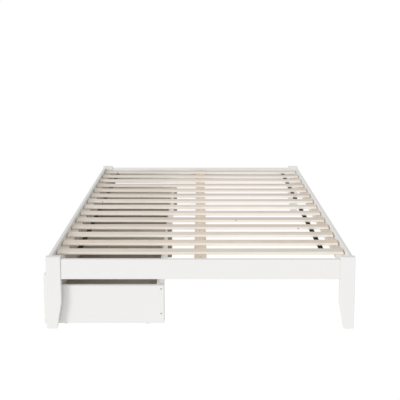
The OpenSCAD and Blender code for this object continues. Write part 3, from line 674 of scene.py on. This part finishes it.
def makeStraps(nodeName):
    # one tape per roll: flat under each slat, sagging by the slack in each gap
    low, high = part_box(nodeName)
    middle, halfW = (low.x + high.x) / 2, (high.x - low.x) / 2
    thick = high.z - low.z
    perRoll = len(slatBoxes) // 2
    solid = bmesh.new()
    weave = solid.verts.layers.float_vector.new("weaveCoord")
    top = high.z - webbing["lift"]
    inset = low.y - slatBoxes[0][0].y
    cut = webbing["selvedge"]
    section = [(-halfW, -thick * 0.7), (-halfW, -thick * 0.3), (-halfW + cut, 0), (halfW - cut, 0),
               (halfW, -thick * 0.3), (halfW, -thick * 0.7), (halfW - cut, -thick), (-halfW + cut, -thick)]
    for roll in (slatBoxes[:perRoll], slatBoxes[perRoll:]):
        route = []
        for i, (slatLow, slatHigh) in enumerate(roll):
            first = slatLow.y + (inset if i == 0 else 0)
            last = slatHigh.y - (inset if i == len(roll) - 1 else 0)
            route += [(first, 0.0), (last, 0.0)]
            if i < len(roll) - 1:
                gap = roll[i + 1][0].y - slatHigh.y
                for k in range(1, webbing["steps"]):
                    part = k / webbing["steps"]
                    route.append((slatHigh.y + gap * part, -webbing["slack"] * math.sin(math.pi * part)))
        rings = []
        for y, drop in route:
            ring = [solid.verts.new((middle + x, y, top + z + drop)) for x, z in section]
            for vert, (x, z) in zip(ring, section):
                vert[weave] = (y, x, 0)
            rings.append(ring)
        for a, b in zip(rings, rings[1:]):
            for i in range(len(section)):
                j = (i + 1) % len(section)
                solid.faces.new((a[i], a[j], b[j], b[i])).smooth = True
        solid.faces.new(rings[0])
        solid.faces.new(list(reversed(rings[-1])))
    bmesh.ops.recalc_face_normals(solid, faces=solid.faces)
    mesh = bpy.data.meshes.new(nodeName + "_woven")
    solid.to_mesh(mesh)
    solid.free()
    addPiece(nodeName + "_woven", mesh, [nodeName])


for side in sides:
    makeStraps(f"slat_straps_{side}")
print("webbing done")

# fasteners: a head and a shank put at every place of the CAD's fasteners; the head's sizes are
# shares of its height, and dome has the rise and the narrowing of its two steps
fastenerHead = {"base": 0.5, "dome": ((0.3, 0.86), (0.2, 0.72)), "recessFloor": 0.3}
fasteners = {   # recess: points of the star, outer and inner radius as shares of the head
    "frame_bolts": {"recess": (3, 0.5, 0.5), "shank": 3 * mm},
    "ledger_screws": {"recess": (4, 0.62, 0.2), "shank": 2 * mm},
    "foot_drawer_screws": {"recess": (4, 0.62, 0.2), "shank": 2 * mm},
    "head_drawer_screws": {"recess": (4, 0.62, 0.2), "shank": 2 * mm},
}


def fastenerPlaces(nodeName):
    # for each fastener: the middle of its head's underside, the way the head faces, the head's
    # radius and height, and the whole length
    solid = solidOf(nodeName)
    places = []
    for part in looseParts(solid):
        low, high = corners(part)
        size = high - low
        long = max(range(3), key=lambda i: abs(size[i] - sorted(size)[1]))
        across = [i for i in range(3) if i != long]
        centre = (low + high) / 2
        headR = size[across[0]] / 2
        wide = [v.co[long] for v in part
                if math.hypot(v.co[across[0]] - centre[across[0]],
                              v.co[across[1]] - centre[across[1]]) > headR * 0.9]
        face = 1 if sum(wide) / len(wide) > centre[long] else -1
        seat = min(wide) if face > 0 else max(wide)
        spot, facing = centre.copy(), Vector((0, 0, 0))
        spot[long], facing[long] = seat, face
        places.append((spot, facing, headR, max(wide) - min(wide), size[long]))
    solid.free()
    return zip(*places)


def makeFastenerTree():
    # a domed head with a driving recess cut in it, aimed along each point's "facing", on a plain
    # shank of that point's "reach"
    tree, inputs = startTree("fasteners", {
        "Head radius": "Float", "Head height": "Float", "Shank radius": "Float", "Recess points": "Int",
        "Recess radius": "Float", "Recess inner": "Float", "Material": "Material"})

    def scaled(value, factor):
        return addNode(tree, "ShaderNodeMath", {0: value, 1: factor}, operation="MULTIPLY").outputs[0]

    base = scaled(inputs["Head height"], fastenerHead["base"])
    head = addNode(tree, "GeometryNodeMeshCylinder", {"Vertices": 20, "Radius": inputs["Head radius"],
                                                      "Depth": base}).outputs["Mesh"]
    lift = addNode(tree, "ShaderNodeCombineXYZ", {"Z": scaled(base, 0.5)}).outputs[0]
    head = addNode(tree, "GeometryNodeTransform", {"Geometry": head, "Translation": lift}).outputs[0]
    normal = addNode(tree, "GeometryNodeInputNormal").outputs[0]
    normal = addNode(tree, "ShaderNodeSeparateXYZ", {0: normal})
    chosen = addNode(tree, "FunctionNodeCompare", {0: normal.outputs["Z"], 1: 0.9},
                     operation="GREATER_THAN").outputs[0]
    for rise, narrow in fastenerHead["dome"]:
        grown = addNode(tree, "GeometryNodeExtrudeMesh", {
            "Mesh": head, "Selection": chosen, "Offset Scale": scaled(inputs["Head height"], rise)})
        head = addNode(tree, "GeometryNodeScaleElements", {"Geometry": grown.outputs["Mesh"],
                                                           "Selection": grown.outputs["Top"],
                                                           "Scale": narrow}).outputs[0]
        chosen = grown.outputs["Top"]
    star = addNode(tree, "GeometryNodeCurveStar", {"Points": inputs["Recess points"],
                                                   "Inner Radius": inputs["Recess inner"],
                                                   "Outer Radius": inputs["Recess radius"], "Twist": 0.0})
    floorZ = scaled(inputs["Head height"], fastenerHead["recessFloor"])
    start = addNode(tree, "ShaderNodeCombineXYZ", {"Z": floorZ}).outputs[0]
    stop = addNode(tree, "ShaderNodeCombineXYZ", {"Z": scaled(inputs["Head height"], 2.0)}).outputs[0]
    line = addNode(tree, "GeometryNodeCurvePrimitiveLine", {"Start": start, "End": stop})
    cutter = addNode(tree, "GeometryNodeCurveToMesh", {"Curve": line.outputs[0],
                                                       "Profile Curve": star.outputs["Curve"],
                                                       "Fill Caps": True})
    cut = addNode(tree, "GeometryNodeMeshBoolean", {"Mesh 1": head}, operation="DIFFERENCE", solver="EXACT")
    tree.links.new(cutter.outputs[0], cut.inputs["Mesh 2"])
    shank = addNode(tree, "GeometryNodeMeshCylinder", {"Vertices": 12, "Radius": inputs["Shank radius"],
                                                       "Depth": 1.0}).outputs["Mesh"]
    shank = addNode(tree, "GeometryNodeTransform", {"Geometry": shank,
                                                    "Translation": (0, 0, -0.5)}).outputs[0]
    facing = addNode(tree, "GeometryNodeInputNamedAttribute", {"Name": "facing"}, data_type="FLOAT_VECTOR")
    aim = addNode(tree, "FunctionNodeAlignRotationToVector", {"Vector": facing.outputs[0]}, axis="Z")
    reach = addNode(tree, "GeometryNodeInputNamedAttribute", {"Name": "reach"}, data_type="FLOAT")
    stretch = addNode(tree, "ShaderNodeCombineXYZ", {"X": 1.0, "Y": 1.0, "Z": reach.outputs[0]}).outputs[0]
    placed = addNode(tree, "GeometryNodeJoinGeometry")
    for shape, scale in ((shank, stretch), (cut.outputs[0], (1, 1, 1))):
        copies = addNode(tree, "GeometryNodeInstanceOnPoints", {
            "Points": inputs["Geometry"], "Instance": shape, "Rotation": aim.outputs[0], "Scale": scale})
        tree.links.new(copies.outputs[0], placed.inputs[0])
    endTree(tree, placed.outputs[0], inputs["Material"])
    return tree


fastenerTree = makeFastenerTree()
for nodeName, kind in fasteners.items():
    spots, facings, (headR, *_), headHeights, lengths = fastenerPlaces(nodeName)
    points, outer, inner = kind["recess"]
    mesh = runTree(
        fastenerTree, nodeName + "_turned", spots,
        {"facing": ("FLOAT_VECTOR", "vector", facings),
         "reach": ("FLOAT", "value", [[whole - head] for whole, head in zip(lengths, headHeights)])},
        {"Head radius": headR, "Head height": headHeights[0], "Shank radius": kind["shank"],
         "Recess points": points, "Recess radius": headR * outer, "Recess inner": headR * inner,
         "Material": materials["zinc_steel"]})
    mesh.shade_smooth()
    mesh.set_sharp_from_angle(angle=math.radians(35))
    addPiece(nodeName + "_turned", mesh, [nodeName])
    print(nodeName, len(spots), "placed, head", round(headR / mm, 1), "mm")


def makeStapleTree():
    # a staple of flat wire: a crown across the tape and two legs into the slat
    tree, inputs = startTree("staples", {"Crown": "Float", "Wire": "Float", "Leg": "Float",
                                         "Material": "Material"})
    half = addNode(tree, "ShaderNodeMath", {0: inputs["Crown"], 1: inputs["Wire"]}, operation="SUBTRACT")
    half = addNode(tree, "ShaderNodeMath", {0: half.outputs[0], 1: 0.5}, operation="MULTIPLY").outputs[0]
    edge = addNode(tree, "ShaderNodeMath", {0: inputs["Wire"], 1: 0.3}, operation="MULTIPLY").outputs[0]
    crown = addNode(tree, "ShaderNodeCombineXYZ", {"X": inputs["Crown"], "Y": inputs["Wire"],
                                                   "Z": inputs["Wire"]}).outputs[0]
    leg = addNode(tree, "ShaderNodeCombineXYZ", {"X": inputs["Wire"], "Y": inputs["Wire"],
                                                 "Z": inputs["Leg"]}).outputs[0]
    upZ = addNode(tree, "ShaderNodeMath", {0: inputs["Leg"], 1: 0.5}, operation="MULTIPLY").outputs[0]
    whole = addNode(tree, "GeometryNodeJoinGeometry")
    for size, side in ((crown, 0), (leg, 1), (leg, -1)):
        block = addNode(tree, "GeometryNodeGroup", node_tree=easedBlock)
        tree.links.new(size, block.inputs["Size"])
        tree.links.new(edge, block.inputs["Radius"])
        sideX = addNode(tree, "ShaderNodeMath", {0: half, 1: float(side)}, operation="MULTIPLY").outputs[0]
        rise = addNode(tree, "ShaderNodeMath", {0: upZ, 1: float(abs(side))},
                       operation="MULTIPLY").outputs[0]
        spot = addNode(tree, "ShaderNodeCombineXYZ", {"X": sideX, "Z": rise}).outputs[0]
        moved = addNode(tree, "GeometryNodeTransform", {"Geometry": block.outputs[0], "Translation": spot})
        tree.links.new(moved.outputs[0], whole.inputs[0])
    placed = addNode(tree, "GeometryNodeInstanceOnPoints", {"Points": inputs["Geometry"],
                                                            "Instance": whole.outputs[0]})
    endTree(tree, placed.outputs[0], inputs["Material"])
    return tree


solid = solidOf("strap_staples")
stapleBoxes = [corners(part) for part in looseParts(solid)]
solid.free()
staple = {"wire": 1 * mm}
low, high = stapleBoxes[0]
stapleMesh = runTree(
    makeStapleTree(), "strap_staples_bent",
    [((a.x + b.x) / 2, (a.y + b.y) / 2, a.z + staple["wire"] / 2) for a, b in stapleBoxes], {},
    {"Crown": high.x - low.x, "Wire": staple["wire"], "Leg": high.z - low.z - staple["wire"] / 2,
     "Material": materials["zinc_steel"]})
stapleMesh.shade_smooth()
addPiece("strap_staples_bent", stapleMesh, ["strap_staples"])
print("staples:", len(stapleBoxes))

# wheels: a turned tread and hub with moulded spokes in the hollow of each side
wheel = {"steps": 48, "spokes": 6, "spokeWidth": 1.6 * mm, "spokeInset": 0.8 * mm, "tread": 1.4 * mm,
         "hub": 6.5 * mm, "rim": 12.5 * mm, "bore": 3.05 * mm, "web": 3.2 * mm, "groove": 0.35 * mm}


def makeWheel(nodeName):
    # the section from bore to tread, turned round the axle, and a tapered block for each spoke
    low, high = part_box(nodeName)
    centre, radius, half = (low + high) / 2, (high.z - low.z) / 2, (high.y - low.y) / 2
    look = wheel
    arc = [(radius - look["tread"] * (1 - math.sin(a)), half - look["tread"] * (1 - math.cos(a)))
           for a in (0, math.pi / 6, math.pi / 3, math.pi / 2)]
    side = [(look["bore"], half), (look["hub"] - 0.5 * mm, half), (look["hub"], half - 0.5 * mm),
            (look["hub"] + 0.3 * mm, look["web"]), (look["rim"] - 0.3 * mm, look["web"]),
            (look["rim"], half - 0.4 * mm), (look["rim"] + 0.4 * mm, half)] + arc
    # a shallow moulding line runs round the middle of the tread
    side += [(radius, 0.5 * mm), (radius - look["groove"], 0.0)]
    profile = side + [(r, -y) for r, y in reversed(side[:-1])]
    solid = bmesh.new()
    rings = []
    for k in range(look["steps"]):
        turn = 2 * math.pi * k / look["steps"]
        rings.append([solid.verts.new(centre + Vector((r * math.cos(turn), y, r * math.sin(turn))))
                      for r, y in profile])
    for k, ring in enumerate(rings):
        after = rings[(k + 1) % len(rings)]
        for i in range(len(profile)):
            j = (i + 1) % len(profile)
            solid.faces.new((ring[i], ring[j], after[j], after[i]))
    for k in range(look["spokes"]):
        turn = 2 * math.pi * (k + 0.5) / look["spokes"]
        along = Vector((math.cos(turn), 0, math.sin(turn)))
        across = Vector((-math.sin(turn), 0, math.cos(turn)))
        for face in (-1, 1):
            outY = (half - look["spokeInset"]) * face
            ring = []
            for y, narrow in ((look["web"] * 0.5 * face, 1.0), (outY - 0.4 * mm * face, 0.85), (outY, 0.5)):
                w = look["spokeWidth"] / 2 * narrow
                a, b = look["hub"] - 0.4 * mm, look["rim"] + 0.4 * mm
                ring.append([solid.verts.new(centre + along * r + across * s + Vector((0, y, 0)))
                             for r, s in ((a, -w), (b, -w), (b, w), (a, w))])
            for p, q in zip(ring, ring[1:]):
                for i in range(4):
                    solid.faces.new((p[i], p[(i + 1) % 4], q[(i + 1) % 4], q[i]))
            solid.faces.new(ring[0])
            solid.faces.new(ring[-1])
    bmesh.ops.recalc_face_normals(solid, faces=solid.faces)
    mesh = bpy.data.meshes.new(nodeName + "_moulded")
    solid.to_mesh(mesh)
    solid.free()
    mesh.shade_smooth()
    mesh.set_sharp_from_angle(angle=math.radians(40))
    addPiece(nodeName + "_moulded", mesh, [nodeName])


wheelNodes = sorted(n for n in frame["nodes"] if "_wheel_" in n)
for nodeName in wheelNodes:
    makeWheel(nodeName)
print("wheels:", len(wheelNodes))
